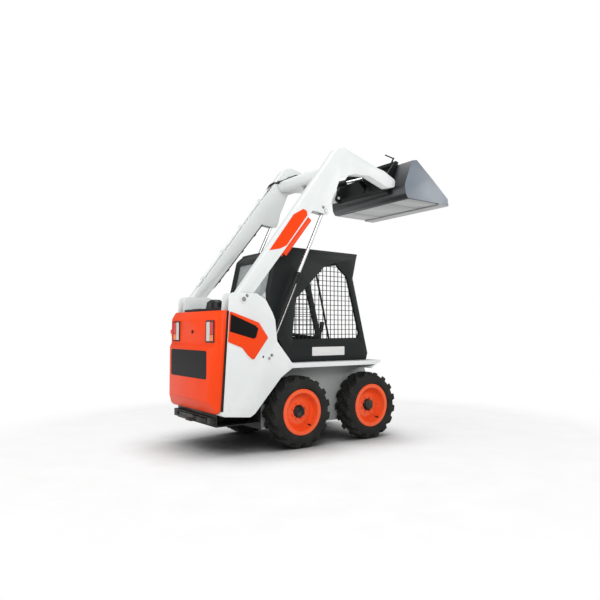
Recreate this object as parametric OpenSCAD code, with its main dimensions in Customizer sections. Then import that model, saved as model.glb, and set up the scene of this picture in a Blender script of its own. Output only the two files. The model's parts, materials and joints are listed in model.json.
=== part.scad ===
// Small skid steer loader with its lift arms raised and its bucket level.
// X points forward, Y to the left and Z up. The modules are drawn with the rear axle at x = 0
// and place() brings the middle of the machine over the origin.

/* [Wheels] */
// Tyre diameter over the lugs
tyre_d = 680; // [640:5:700]
// Tyre width
tyre_w = 216; // [200:2:224]
// Rim diameter over the flanges
rim_d = 436; // [410:2:450]
// Width of the rim over the flanges
rim_w = 192; // [180:2:198]
// Thickness of the rim's steel
rim_t = 9; // [6:1:12]
// Diameter of the turning axle shaft
axle_d = 60; // [40:2:80]
// Height of the tyre's lugs
lug_h = 22; // [16:1:26]
// Distance between the two axles
wheelbase = 880; // [860:5:920]
// Width over the tyres
overall_w = 1180; // [1160:2:1200]

/* [Frame] */
// Height of the frame's floor above the ground
ground_clear = 190; // [170:5:220]
// Room between a tyre and the frame
frame_gap = 24; // [20:1:44]
// Thickness of each chain case
case_w = 70; // [50:5:90]
// Height of the fenders' top face
fender_z = 800; // [790:5:810]
// Width over the uprights and fenders
body_w = 1090; // [1084:2:1110]
// Thickness of the upright and fender plates
plate_t = 10; // [8:1:12]
// Room between the tyre and the wheel arch
arch_gap = 50; // [40:5:60]
// Depth of the fender's turned-down lip
lip_h = 42; // [30:2:60]

/* [Lift arms] */
// Arm pivot behind the rear axle
pivot_back = 635; // [620:5:650]
// Height of the arm pivot
pivot_z = 1395; // [1380:5:1410]
// Diameter of the arm pivot pins
pivot_d = 48; // [40:2:60]
// Width of one lift arm
arm_w = 100; // [90:2:110]
// Room between an arm and the upright plates
arm_gap = 8; // [6:1:12]
// Slope of the raised arm's long leg, in degrees
leg_angle = 51; // [50:0.5:52]
// Length of the long leg up to the knee's top
leg_len = 1985; // [1960:5:2020]
// Bucket hinge forward of the arm pivot
hinge_reach = 1885; // [1850:5:1920]
// Bucket hinge above the arm pivot
hinge_rise = 1338; // [1320:2:1360]
// Diameter of the bucket hinge pins
hinge_d = 36; // [30:2:44]

/* [Cylinders] */
// Lift barrel outside diameter
barrel_d = 64; // [56:2:72]
// Lift rod diameter
rod_d = 35; // [28:1:42]
// Lift barrel length from base pin to gland
barrel_len = 900; // [860:5:905]
// Base pin forward of the arm pivot
base_fwd = 275; // [265:5:285]
// Base pin below the arm pivot
base_drop = 537; // [530:1:545]
// Diameter of the cylinder pins
cyl_pin_d = 32; // [26:2:36]
// Tilt barrel outside diameter
tilt_barrel_d = 80; // [70:2:90]
// Tilt rod diameter
tilt_rod_d = 40; // [32:2:48]
// Tilt barrel length from base pin to gland
tilt_barrel_len = 520; // [480:5:530]
// Distance from the bucket hinge to the tilt rod's pin
tilt_crank = 165; // [155:1:175]

/* [Bucket] */
// Bucket width
bucket_w = 1270; // [1200:10:1400]
// Bucket floor length forward of the hinge
bucket_reach = 800; // [760:5:860]
// Height of the bucket's top edge above the hinge
bucket_top = 278; // [260:2:300]
// Depth of the bucket floor below the hinge
bucket_drop = 170; // [160:2:180]
// Thickness of the bucket's plates
bucket_t = 10; // [6:1:14]
// Thickness of the cutting edge
edge_t = 16; // [12:1:20]

/* [Cab] */
// Cab width
cab_w = 790; // [770:2:800]
// Height of the cab roof
cab_z = 1935; // [1920:5:1950]
// Thickness of the cab's walls
wall_t = 30; // [20:1:35]
// Pitch of the side screens' wires
mesh_pitch = 50; // [40:1:60]
// Thickness of the side screens' wires
mesh_wire = 6; // [4:0.5:8]

/* [Tail] */
// Rear face of the tailgate behind the rear axle
tail_back = 915; // [905:1:930]
// Top of the tailgate
tail_top = 1295; // [1280:5:1300]
// Bottom of the tailgate
tail_low = 372; // [365:1:385]
// Thickness of the tailgate shell
tail_t = 40; // [25:1:50]
// Height of a tail lamp
lamp_h = 200; // [180:2:206]
// Width of a tail lamp
lamp_w = 160; // [140:2:166]

/* [Hidden] */
$fn = 64;

// Clearances: running fit of a pin, seat of a rigid piece, and free room of a moving piece
fit = 0.05;
seat = 0.3;
free = 8;

// Wheels
tyre_r = tyre_d / 2;
axle_z = tyre_r;
wheel_y = overall_w / 2 - tyre_w / 2;
rim_r = rim_d / 2;
bead_r = rim_r - 28;
disc_y = 30;
frame_w = overall_w - 2 * tyre_w - 2 * frame_gap;
axle_in = wheel_y - frame_w / 2 - 10;

// Lateral planes
half_body = body_w / 2;
arm_out = half_body - plate_t - arm_gap;
arm_in = arm_out - arm_w;
inner_out = arm_in - arm_gap;
inner_in = inner_out - plate_t;
arm_mid = (arm_out + arm_in) / 2;

// Frame
floor_t = 10;
bulk_x = -(tyre_r + 20);
pan_z = ground_clear + 60;
case_front = wheelbase + 130;
fender_x0 = -95;
fender_front = wheelbase + 165;
fender_under = fender_z - lip_h;

// Rear line of the uprights and the gap in front of the tailgate
body_low = 361;
rear_foot = -836;
rear_lean = 3.33;
function rear_x(z) = rear_foot + (z - body_low) * tan(rear_lean);

// Wheel arch: a straight edge tangent to a circle round the tyre
arch_a = 47.8;
function arch_x(z) = ((z - axle_z) * cos(arch_a) - tyre_r - arch_gap) / sin(arch_a);

// Arm points: pivot, hinge, cylinder pins and the long leg's own directions
pivot = [-pivot_back, pivot_z];
hinge = pivot + [hinge_reach, hinge_rise];
base = pivot + [base_fwd, -base_drop];
rod_pin = leg(1318, -169);
function leg(u, v) = pivot + u * [cos(leg_angle), sin(leg_angle)] + v * [-sin(leg_angle), cos(leg_angle)];

// Lift cylinder at rest
lift_line = rod_pin - base;
lift_len = norm(lift_line);
lift_a = atan2(lift_line.y, lift_line.x);
eye_w = 50;
eye_r = 30;
slot_w = eye_w + 12;
slot_r = 96;

// Cross tube and tilt cylinder at rest
tube_uv = [1740, 20];
tube_at = leg(tube_uv.x, tube_uv.y);
tube_r = 70;
tilt_uv = [1690, -120];
tilt_base = leg(tilt_uv.x, tilt_uv.y);
tilt_pin = hinge + tilt_crank * [cos(75), sin(75)];
tilt_line = tilt_pin - tilt_base;
tilt_len = norm(tilt_line);
tilt_a = atan2(tilt_line.y, tilt_line.x);
tilt_eye_w = 56;
lug_t = 18;
lug_in = tilt_eye_w / 2 + 6;
foot_in = tilt_barrel_d / 2 + 6;

// Quick attach and bucket, level at rest, measured from the bucket hinge
bucket_back = 87;
back_low = [bucket_back, -28];
back_high = [bucket_back + 112, bucket_top - 20];
back_lean = atan2(back_high.x - back_low.x, back_high.y - back_low.y);
face_t = back_low * [cos(back_lean), -sin(back_lean)] - seat;
ear_t = 24;
ear_out = arm_in - 6;
ear_in = ear_out - ear_t;

// Tail
tail_ledge = tail_top - 329;
tail_crease = tail_top - 80;
tail_step = 45;
tail_half = 435;
hinge_zs = [620, tail_top - 215];
bracket_h = 24;
knuckle_r = 17;
hinge_pin_r = 8;
tail_hinge = [rear_x(hinge_zs[0] - bracket_h) - knuckle_r - 2, half_body];
lamp_at = [368, tail_top - 190];
lamp_depth = 26;
lamp_proud = 6;

// Engine cover
cover_t = 20;
cover_z = tail_top + 5;
cover_hinge = [bulk_x - 6, cover_z + 15];
cover_half = inner_in - 14;

// Middle of the machine between the tailgate and the cutting edge
mid_x = (hinge.x + bucket_reach + 15 - tail_back) / 2;

module place() { translate([-mid_x, 0, 0]) children(); }
module on_right() { mirror([0, 1, 0]) children(); }
module both() {
    children();
    mirror([0, 1, 0]) children();
}

// An outline in the XZ plane, as thick as from width y0 to width y1
module flat(y0, y1) { translate([0, y1, 0]) rotate([90, 0, 0]) linear_extrude(y1 - y0) children(); }
// A round bar along Y
module bar(at, r, y0, y1) { translate([at.x, y1, at.y]) rotate([90, 0, 0]) cylinder(r = r, h = y1 - y0); }
// A round bar in the XZ plane from a point, at an angle, at width y
module rod(at, a, r, s0, s1, y) {
    translate([at.x, y, at.y]) rotate([0, 90 - a, 0]) translate([0, 0, s0]) cylinder(r = r, h = s1 - s0);
}

// Outlines: a point is [x, z, radius], and a corner's fillet never takes more than its edges hold
function unit(v) = v / norm(v);
function xy(p) = [p.x, p.y];
function radius(p) = len(p) > 2 ? p[2] : 0;
function turned(v) = [-v.y, v.x];
function fillet(a, b, c, r, n) = let(
    u = unit(a - b), v = unit(c - b), half = acos(max(-1, min(1, u * v))) / 2,
    d = min(r / tan(half), 0.48 * norm(a - b), 0.48 * norm(c - b)), rr = d * tan(half),
    mid = b + unit(u + v) * rr / sin(half), s = b + u * d - mid, e = b + v * d - mid,
    a0 = atan2(s.y, s.x), turn = atan2(s.x * e.y - s.y * e.x, s * e))
    [for (i = [0 : n]) mid + rr * [cos(a0 + turn * i / n), sin(a0 + turn * i / n)]];
function rounded(p, n = 6) = let(k = len(p)) [for (i = [0 : k - 1])
    each radius(p[i]) > 0
        ? fillet(xy(p[(i + k - 1) % k]), xy(p[i]), xy(p[(i + 1) % k]), radius(p[i]), n) : [xy(p[i])]];
// The same outline, wound anticlockwise, moved inwards by t
function inset(p, t) = let(k = len(p)) [for (i = [0 : k - 1]) let(
    b = xy(p[i]), n1 = turned(unit(b - xy(p[(i + k - 1) % k]))), n2 = turned(unit(xy(p[(i + 1) % k]) - b)),
    q = b + (n1 + n2) * t / (1 + n1 * n2)) [q.x, q.y, max(radius(p[i]) - t, 0)]];

// Frame and body

module case_outline() {
    polygon(rounded([[bulk_x, ground_clear], [case_front - 80, ground_clear, 40], [case_front, 330, 60],
        [case_front, 640, 60], [case_front - 50, fender_z - plate_t], [bulk_x, fender_z - plate_t]]));
}
module main_frame() {
    case_in = frame_w / 2 - case_w;
    color("gainsboro") {
        both() flat(case_in, frame_w / 2) case_outline();
        translate([bulk_x, -case_in - 1, ground_clear])
            cube([case_front - 100 - bulk_x, 2 * case_in + 2, floor_t]);
        translate([case_front - 60, -case_in - 1, 330]) cube([floor_t, 2 * case_in + 2, 170]);
        translate([case_front - 110, -case_in - 1, ground_clear]) cube([floor_t, 2 * case_in + 2, 150]);
        translate([case_front - 110, -case_in - 1, 330]) cube([60, 2 * case_in + 2, floor_t]);
        translate([bulk_x - floor_t, -inner_in, ground_clear])
            cube([floor_t, 2 * inner_in, cover_hinge.y - 30 - ground_clear]);
        translate([rear_foot + 8, -inner_in, pan_z]) cube([bulk_x - rear_foot - 8, 2 * inner_in, floor_t]);
        translate([rear_foot + 8, -inner_in, pan_z]) cube([floor_t, 2 * inner_in, tail_low + 60 - pan_z]);
        both() cover_hinge_ears();
    }
}
// Ears on the bulkhead and the pin that the engine cover turns on
module cover_hinge_ears() {
    for (y = [180, 272])
        translate([cover_hinge.x - 10, y, cover_hinge.y - 40]) cube([16, 10, 52]);
    bar(cover_hinge, 6, 180, 282);
}

upright_pts = [[rear_x(body_low), body_low, 20], [rear_x(body_low) + 282, body_low - 26, 30],
    [arch_x(364), 364], [arch_x(676), 676], [fender_x0, fender_under], [fender_x0, fender_z],
    [fender_x0 - 50, fender_z + 65, 60], [fender_x0 - 172, fender_z + 210, 40],
    [pivot.x + 345, pivot.y - 184, 60], [pivot.x + 310, pivot.y - 108, 80], [pivot.x + 242, pivot.y, 80],
    [pivot.x + 142, pivot.y + 58, 60], [rear_x(pivot.y + 58), pivot.y + 58, 50]];
module upright_outline() { polygon(rounded(upright_pts)); }
// Liner along the bottom and the wheel arch, and the rear web, between the two plates
module upright_webs() {
    flat(inner_in, half_body) difference() {
        intersection() {
            upright_outline();
            polygon([[rear_foot - 20, 0], [fender_x0, 0], [fender_x0, fender_z], [arch_x(676), fender_z - 20],
                [arch_x(364) - 40, 480], [rear_x(1200) + 40, 1200], [rear_foot - 20, 1200]]);
        }
        polygon([[rear_x(480) + plate_t, body_low + plate_t], [arch_x(364) - 30, body_low + plate_t],
            [arch_x(676) - 12, 676 + 6], [fender_x0 - 20, fender_under + plate_t],
            [fender_x0 - 20, fender_z + 1], [arch_x(676) - 12, fender_z + 1],
            [rear_x(1250) + plate_t, 1250]]);
    }
}
module upright() {
    hole = [pivot.x + 217, pivot.y - 523];
    color("whitesmoke") {
        difference() {
            union() {
                flat(half_body - plate_t, half_body) upright_outline();
                flat(inner_in, inner_out) upright_outline();
                upright_webs();
            }
            bar(hole, 11, half_body - plate_t - 1, half_body + 1);
        }
        bar(pivot, pivot_d / 2, inner_in, half_body + 16);
        bar(pivot, pivot_d / 2 + 12, half_body - 1, half_body + 8);
        bar(base, cyl_pin_d / 2, inner_in, half_body + 10);
        bar(base, cyl_pin_d / 2 + 8, half_body - 1, half_body + 5);
    }
}
// Brackets at the left upright's rear edge that carry the tailgate's hinge pins
module tailgate_brackets() {
    color("whitesmoke") for (z = hinge_zs) difference() {
        union() {
            translate([tail_hinge.x, tail_hinge.y, z - bracket_h]) cylinder(r = knuckle_r, h = bracket_h);
            translate([tail_hinge.x, tail_hinge.y - 11, z - bracket_h])
                cube([rear_x(z) + 30 - tail_hinge.x, 10, bracket_h]);
        }
        translate([tail_hinge.x, tail_hinge.y, z - bracket_h - 1])
            cylinder(r = hinge_pin_r + fit, h = bracket_h + 2);
    }
}
module upright_left() {
    upright();
    tailgate_brackets();
}
module upright_right() { on_right() upright(); }

module fender() {
    flat(frame_w / 2, half_body) polygon([[fender_x0, fender_z - plate_t], [fender_front, fender_z - plate_t],
        [fender_front, fender_z], [fender_x0, fender_z]]);
    flat(half_body - plate_t, half_body) polygon(rounded([[fender_x0, fender_under],
        [fender_front - 60, fender_under], [fender_front, fender_z - 18, 8],
        [fender_front, fender_z, 4], [fender_x0, fender_z]]));
    flat(frame_w / 2, half_body) polygon([[fender_front - 130, fender_z - 82], [fender_front, fender_z - 10],
        [fender_front - 16, fender_z - 5], [fender_front - 134, fender_z - 74]]);
}
module fenders() { color("whitesmoke") both() fender(); }

moulding_t = 8;
module side_mouldings() {
    color("orangered") both() flat(half_body, half_body + moulding_t) polygon(rounded([
        [rear_x(1010) + 12, pivot.y - 382, 12], [rear_x(1280) + 12, pivot.y - 110, 12],
        [pivot.x + 165, pivot.y - 211, 20], [pivot.x + 264, pivot.y - 347, 14],
        [pivot.x + 110, pivot.y - 547, 14], [pivot.x + 54, pivot.y - 508, 20],
        [pivot.x - 8, pivot.y - 436, 30]]));
}

module rear_bumper() {
    drop = 70;
    color("dimgray") difference() {
        union() {
            translate([rear_foot - 34, -inner_in, pan_z + 20]) cube([42, 2 * inner_in, drop]);
            translate([rear_foot - 74, -60, pan_z + 20]) cube([66, 120, 20]);
        }
        translate([rear_foot - 54, 0, pan_z]) cylinder(r = 13, h = drop);
        for (s = [-1, 1]) translate([rear_foot - 60, s * 300, pan_z + 55])
            rotate([0, 90, 0]) cylinder(r = 16, h = 80);
    }
}

module engine() {
    color("dimgray") translate([rear_foot + 70, -230, pan_z + floor_t])
        cube([bulk_x - rear_foot - 140, 460, 660]);
}

module axle_tubes() {
    color("dimgray") for (x = [0, wheelbase]) both() difference() {
        bar([x, axle_z], axle_d / 2 + 24, frame_w / 2, frame_w / 2 + 50);
        bar([x, axle_z], axle_d / 2 + fit, frame_w / 2 + 4, frame_w / 2 + 60);
    }
}

// Wheels, drawn at the origin with their outer side towards +Y

module spun() { rotate([-90, 0, 0]) rotate_extrude($fn = 96) children(); }
module rim_body() {
    edge = rim_w / 2;
    spun() {
        polygon([[bead_r - rim_t, -edge], [rim_r, -edge], [rim_r, -edge + rim_t], [bead_r, -edge + rim_t],
            [bead_r, edge - rim_t], [rim_r, edge - rim_t], [rim_r, edge], [bead_r - rim_t, edge]]);
        polygon([[0, disc_y - 12], [110, disc_y - 12], [150, disc_y - 30], [bead_r - rim_t + 1, disc_y - 30],
            [bead_r - rim_t + 1, disc_y - 18], [156, disc_y - 18], [114, disc_y], [0, disc_y]]);
        square_shaft = -axle_in;
        polygon([[0, square_shaft], [axle_d / 2, square_shaft], [axle_d / 2, disc_y - 36],
            [88, disc_y - 36], [88, disc_y - 11], [0, disc_y - 11]]);
        polygon([[0, disc_y - 1], [44, disc_y - 1], [44, disc_y + 16], [36, disc_y + 22], [0, disc_y + 22]]);
    }
}
// Tyre with two rows of bar lugs, half a pitch apart: rings of points round the axle, raised or not
lug_count = 16;
lug_marks = [0, 0.375, 0.5, 0.875];
lug_turn = 360 * lug_marks[1] / lug_count;
lug_sweep = 14;
function raised(k, outer) = outer ? k < 2 : k > 1;
function tyre_ring(j, up) = let(edge = rim_w / 2 - rim_t - seat, wide = tyre_w / 2)
    j == 0 ? [(bead_r + seat) / cos(lug_turn / 2), edge] : j == 1 ? [rim_r + 4, edge]
    : j == 2 ? [rim_r + 46, wide]
    : j == 3 ? (up ? [tyre_r - 34, wide - 3] : [tyre_r - 48, wide - 17])
    : j == 4 ? (up ? [tyre_r - 3, wide - 19] : [tyre_r - lug_h, wide - 44])
    : [tyre_r / cos(lug_turn / 2), 0];
function tyre_point(i, k, j, side) = let(outer = j < 6, p = tyre_ring(outer ? j : 10 - j, raised(k, outer)),
    a = 360 * (i + lug_marks[k]) / lug_count - lug_turn / 2 + side * lug_sweep * 2 * p.y / tyre_w)
    [p.x * cos(a), (outer ? 1 : -1) * p.y, p.x * sin(a)];
module tyre_body(side) {
    cols = 4 * lug_count;
    polyhedron([for (c = [0 : cols - 1], j = [0 : 10]) tyre_point(floor(c / 4), c % 4, j, side)],
        [for (c = [0 : cols - 1], j = [0 : 10], t = [0, 1]) let(d = (c + 1) % cols, q = (j + 1) % 11)
            t == 0 ? [11 * c + j, 11 * c + q, 11 * d + q] : [11 * c + j, 11 * d + q, 11 * d + j]]);
}
module at_wheel(x, side) {
    translate([x, side * wheel_y, axle_z]) rotate([0, 0, side > 0 ? 0 : 180]) children();
}
module rim(x, side) { color("orangered") at_wheel(x, side) rim_body(); }
module tyre(x, side) { color("dimgray") at_wheel(x, side) tyre_body(side); }

// Cab

roof_t = 40;
side_top = cab_z - roof_t;
cab_pts = [[-20, fender_z, 20], [972, fender_z, 10], [992, fender_z + 71, 10], [787, cab_z - 272, 30],
    [842, side_top, 0], [-112, side_top, 30], [-178, cab_z - 97, 60], [-255, cab_z - 435, 40],
    [-245, fender_z + 380, 60]];
window_pts = [[5, fender_z + 225, 20], [855, fender_z + 229, 20], [878, fender_z + 285, 20],
    [711, cab_z - 258, 30], [609, cab_z - 179, 20], [555, cab_z - 121, 20], [410, cab_z - 166, 30],
    [218, cab_z - 350, 20], [50, cab_z - 510, 20]];
cab_half = cab_w / 2;
cab_in = cab_half - wall_t;
module cab_side() {
    color("darkslategray") flat(cab_in, cab_half) difference() {
        polygon(rounded(cab_pts));
        polygon(rounded(window_pts));
    }
}
module cab_side_left() { cab_side(); }
module cab_side_right() { on_right() cab_side(); }

// Wire screen that fills the window
module screen() {
    mid = cab_half - wall_t / 2;
    cell = mesh_pitch - mesh_wire;
    color("black") flat(mid - mesh_wire / 2, mid + mesh_wire / 2) {
        difference() {
            polygon(rounded(window_pts));
            intersection() {
                polygon(rounded(inset(window_pts, mesh_wire)));
                for (i = [0 : 18], k = [0 : 17])
                    translate([i * mesh_pitch, fender_z + 225 + k * mesh_pitch]) square(cell);
            }
        }
    }
}
module screen_left() { screen(); }
module screen_right() { on_right() screen(); }

module cab_roof() {
    color("darkslategray") {
        flat(-cab_half, cab_half) polygon(rounded([[-112, side_top], [842, side_top], [852, cab_z - 18, 6],
            [846, cab_z - 10, 8], [-30, cab_z, 40], [-100, cab_z - 22, 30]]));
        flat(-cab_in, cab_in) polygon([[800, side_top - 60], [836, side_top - 60], [842, side_top],
            [800, side_top]]);
    }
}

rear_pts = [[-112, side_top], [-178, cab_z - 97], [-255, cab_z - 435], [-245, fender_z + 380]];
module cab_rear() {
    strip = concat(rear_pts, [for (i = [3 : -1 : 0]) rear_pts[i] + [wall_t + (i == 0 ? 24 : 4), 0]]);
    color("darkslategray") difference() {
        flat(-cab_in, cab_in) polygon(strip);
        rear_opening();
    }
}
// Opening in the rear wall for the glass
module rear_opening() {
    edge = 50;
    flat(-cab_in + edge, cab_in - edge) polygon([[-330, cab_z - 560], [-100, cab_z - 560],
        [-60, cab_z - 140], [-330, cab_z - 140]]);
}
module rear_window() {
    pane = 6;
    color([0.7, 0.8, 0.82, 0.4]) intersection() {
        flat(-cab_in, cab_in) polygon([rear_pts[1] + [12, 0], rear_pts[2] + [12, 0], rear_pts[3] + [12, 0],
            rear_pts[3] + [12 + pane, 0], rear_pts[2] + [12 + pane, 0], rear_pts[1] + [12 + pane, 0]]);
        rear_opening();
    }
}

// Driver's place

deck_z = 690;
deck_front = 330;
module seat_deck() {
    half = frame_w / 2 - case_w - 0.5;
    color("dimgray") {
        translate([bulk_x, -half, deck_z]) cube([deck_front - bulk_x, 2 * half, 12]);
        translate([deck_front - 12, -half, ground_clear + floor_t])
            cube([12, 2 * half, deck_z - ground_clear - floor_t + 1]);
        translate([-120, -190, deck_z + 11]) cube([360, 380, 60]);
    }
}
seat_z = deck_z + 71;
module seat_cushion() {
    color("black") flat(-220, 220) polygon(rounded([[-110, seat_z + seat], [250, seat_z + seat, 20],
        [275, seat_z + 60, 40], [250, seat_z + 115, 40], [-110, seat_z + 85, 20]]));
}
module seat_back() {
    color("black") flat(-210, 210) polygon(rounded([[-112, seat_z + seat, 10], [-114, seat_z + 88, 10],
        [-120, seat_z + 300, 30], [-160, seat_z + 470, 40], [-205, seat_z + 460, 30],
        [-190, seat_z + 300, 60], [-180, seat_z + seat, 10]]));
}
module seat_bar() {
    r = 16;
    z0 = seat_z + 330;
    color("black") {
        both() rod([-60, z0], -8, r, 0, 430, cab_in - 50);
        end = [-60, z0] + 430 * [cos(8), -sin(8)];
        bar(end, r, -cab_in + 50 - r, cab_in - 50 + r);
        both() bar([-60, z0], r, cab_in - 50 - r, cab_in);
    }
}
module control_levers() {
    color("black") both() {
        translate([150, cab_in - 95, fender_z]) cube([330, 95, 120]);
        translate([395, cab_in - 48, fender_z + 105]) rotate([0, 8, 0]) cylinder(r = 9, h = 200);
        translate([423, cab_in - 48, fender_z + 300]) rotate([0, 8, 0]) cylinder(r1 = 20, r2 = 24, h = 100);
    }
}
module work_lamps() {
    color("black") both() {
        translate([806, 220, side_top - 112]) cube([40, 110, 52]);
        for (y = [249, 301]) translate([845, y, side_top - 86]) rotate([0, 90, 0]) cylinder(r = 21, h = 6);
    }
}

// Tailgate and engine cover

tail_pts = [[rear_x(tail_low) - free, tail_low], [rear_x(tail_top) - free, tail_top],
    [-tail_back + 108, tail_top, 20], [-tail_back + tail_step, tail_crease, 60],
    [-tail_back + tail_step, tail_ledge + 20, 12], [-tail_back, tail_ledge - 18, 14],
    [-tail_back, tail_low + 110, 40], [-tail_back + 60, tail_low, 30]];
tail_plan = [[-tail_back - 5, -tail_half + 12, 60], [-tail_back + 70, -half_body + 22, 80],
    [-tail_back + 190, -half_body + 4], [-tail_back + 190, half_body - 4],
    [-tail_back + 70, half_body - 22, 80], [-tail_back - 5, tail_half - 12, 60]];
tail_rear = [[-half_body, tail_top + 20], [-half_body + 4, tail_low, 110], [half_body - 4, tail_low, 110],
    [half_body, tail_top + 20]];
module tail_form(t) {
    intersection() {
        flat(-half_body, half_body) polygon(rounded(inset(tail_ccw(), t)));
        translate([0, 0, tail_low - 10]) linear_extrude(tail_top - tail_low + 20)
            polygon(rounded(inset(tail_plan, t)));
        rotate([90, 0, 90]) translate([0, 0, -tail_back - 20]) linear_extrude(tail_back)
            polygon(rounded(inset(tail_rear, t)));
    }
}
function tail_ccw() = [for (i = [len(tail_pts) - 1 : -1 : 0]) tail_pts[i]];
module tailgate() {
    color("orangered") {
        difference() {
            tail_form(0);
            translate([tail_t, 0, 0]) tail_form(tail_t / 2);
            both() lamp_block();
            for (z = hinge_zs) translate([tail_hinge.x, tail_hinge.y, z - bracket_h - free])
                cylinder(r = knuckle_r + free, h = bracket_h + free + 1);
        }
        for (z = hinge_zs) tailgate_knuckle(z);
    }
}
// Knuckle and pin of one tailgate hinge, above its bracket
module tailgate_knuckle(z) {
    translate([tail_hinge.x, tail_hinge.y, z + 1]) cylinder(r = knuckle_r, h = 40);
    translate([tail_hinge.x, tail_hinge.y, z - bracket_h]) cylinder(r = hinge_pin_r, h = bracket_h + 2);
    translate([tail_hinge.x - knuckle_r, tail_hinge.y - 30, z + 1]) cube([knuckle_r + 3, 30, 40]);
}
module lamp_block() {
    translate([-tail_back + tail_step - lamp_proud, lamp_at.x - lamp_w / 2, lamp_at.y - lamp_h / 2])
        cube([lamp_depth + lamp_proud, lamp_w, lamp_h]);
}
module tail_lamps() {
    rim = 11;
    face = -tail_back + tail_step - lamp_proud;
    lens = [lamp_w / 2 - rim, lamp_h - 2 * rim];
    color("firebrick") both() {
        difference() {
            lamp_block();
            translate([face - 1, lamp_at.x - lens.x, lamp_at.y - lens.y / 2]) cube([6, 2 * lens.x, lens.y]);
        }
        for (k = [-1, 0])
            translate([face + 1, lamp_at.x + k * lens.x + 2, lamp_at.y - lens.y / 2 + 2])
                cube([6, lens.x - 4, lens.y - 4]);
    }
}

cap_at = [pivot.x + 30, 50];
module engine_cover() {
    rear = rear_x(cover_z) + free;
    front = cover_hinge.x - 18;
    color("dimgray") {
        translate([rear, -cover_half, cover_z]) cube([front - rear, 2 * cover_half, cover_t]);
        for (k = [0 : 5], field = [[-cover_half + 55, 265], [cap_at.y + 125, 170]])
            translate([front - 60 - 54 * k, field[0], cover_z + cover_t - 1]) cube([24, field[1], 9]);
        translate([cap_at.x, cap_at.y, cover_z + cover_t - 1]) cylinder(r1 = 95, r2 = 82, h = 70);
        translate([cap_at.x, cap_at.y, cover_z + cover_t + 68]) cylinder(r1 = 82, r2 = 45, h = 26);
        both() difference() {
            union() {
                bar(cover_hinge, 12, 192, 270);
                translate([front - 4, 192, cover_z]) cube([cover_hinge.x - front + 4, 78, cover_t]);
            }
            bar(cover_hinge, 6 + fit, 191, 271);
        }
    }
}

// Lift arms

arm_pts = [leg3(-70, -55, 60), leg3(-70, 62, 60), leg3(leg_len, 133, 140), hinge3(-208, 128, 0),
    hinge3(-118, 112, 80), hinge3(50, 36, 34), hinge3(40, -44, 34), hinge3(-65, -60, 40),
    hinge3(-335, 27, 60), hinge3(-562, 11, 60), hinge3(-738, -57, 60), leg3(1583, -127, 80),
    leg3(1474, -151, 60), pin3(58, 24, 40), pin3(34, -36, 30), pin3(-166, -14, 20), leg3(1150, -52, 60)];
function leg3(u, v, r) = let(p = leg(u, v)) [p.x, p.y, r];
function hinge3(x, z, r) = [hinge.x + x, hinge.y + z, r];
function pin3(x, z, r) = [rod_pin.x + x, rod_pin.y + z, r];
module arm() {
    color("whitesmoke") {
        difference() {
            flat(arm_in, arm_out) polygon(rounded(arm_pts));
            bar(pivot, pivot_d / 2 + fit, arm_in - 1, arm_out + 1);
            flat(arm_mid - slot_w / 2, arm_mid + slot_w / 2) union() {
                translate(rod_pin) circle(r = slot_r);
                polygon([rod_pin + [-slot_r - 120, -60], rod_pin + [slot_r + 40, -60],
                    rod_pin + slot_r * [cos(20), sin(20)], rod_pin + slot_r * [cos(150), sin(150)]]);
            }
        }
        bar(rod_pin, cyl_pin_d / 2, arm_out - 1, arm_out + 6);
        bar(hinge, hinge_d / 2, ear_in - 4, arm_out + 8);
        bar(hinge, hinge_d / 2 + 8, arm_out - 1, arm_out + 5);
    }
}
module arm_left() { arm(); }
module arm_right() { on_right() arm(); }

module cross_tube() {
    color("whitesmoke") {
        bar(tube_at, tube_r, -arm_in, arm_in);
        both() flat(foot_in, foot_in + lug_t) polygon(rounded([leg3(tube_uv.x - 56, tube_uv.y, 0),
            leg3(tilt_uv.x - 46, tilt_uv.y, 30), leg3(tilt_uv.x - 40, tilt_uv.y - 42, 36),
            leg3(tilt_uv.x + 40, tilt_uv.y - 42, 36), leg3(tilt_uv.x + 46, tilt_uv.y, 30),
            leg3(tube_uv.x + 56, tube_uv.y, 0)]));
        bar(tilt_base, cyl_pin_d / 2, -foot_in - lug_t - 6, foot_in + lug_t + 6);
    }
}

// The long leg's lower and upper edges, as heights above the line through the arm pivot
function arm_under(u) = -55 + 3 * (u + 70) / 1220;
function arm_over(u) = 62 + 71 * (u + 70) / (leg_len + 70);
module arm_support() {
    deep = 56;
    wide = 78;
    wall = 6;
    u0 = 640;
    u1 = 1120;
    color("orangered") on_right() difference() {
        flat(arm_mid - wide / 2, arm_mid + wide / 2) polygon(support_outline(u0, u1, seat, seat + deep));
        flat(arm_mid - wide / 2 + wall, arm_mid + wide / 2 - wall)
            polygon(support_outline(u0 - 9, u1 + 9, wall, deep + 9));
    }
}
function support_outline(u0, u1, top, low) = [leg(u0, arm_under(u0) - low), leg(u1, arm_under(u1) - low),
    leg(u1, arm_under(u1) - top), leg(u0, arm_under(u0) - top)];

// Two oil pipes on the left arm's upper edge and the clamps that hold them
module arm_pipes() {
    r = 8;
    start = 160;
    lift = 20;
    color("silver") {
        for (k = [0, 1])
            rod(leg(start, arm_over(start) + lift), leg_angle + atan(71 / (leg_len + 70)), r, 0, 1420,
                arm_in + 22 + 30 * k);
        for (u = [240, 620, 1000, 1380])
            flat(arm_in + 8, arm_in + 66) polygon([leg(u, arm_over(u) + seat),
                leg(u + 36, arm_over(u + 36) + seat), leg(u + 36, arm_over(u + 36) + lift + r + 4),
                leg(u, arm_over(u) + lift + r + 4)]);
    }
}

// Cylinders

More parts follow.
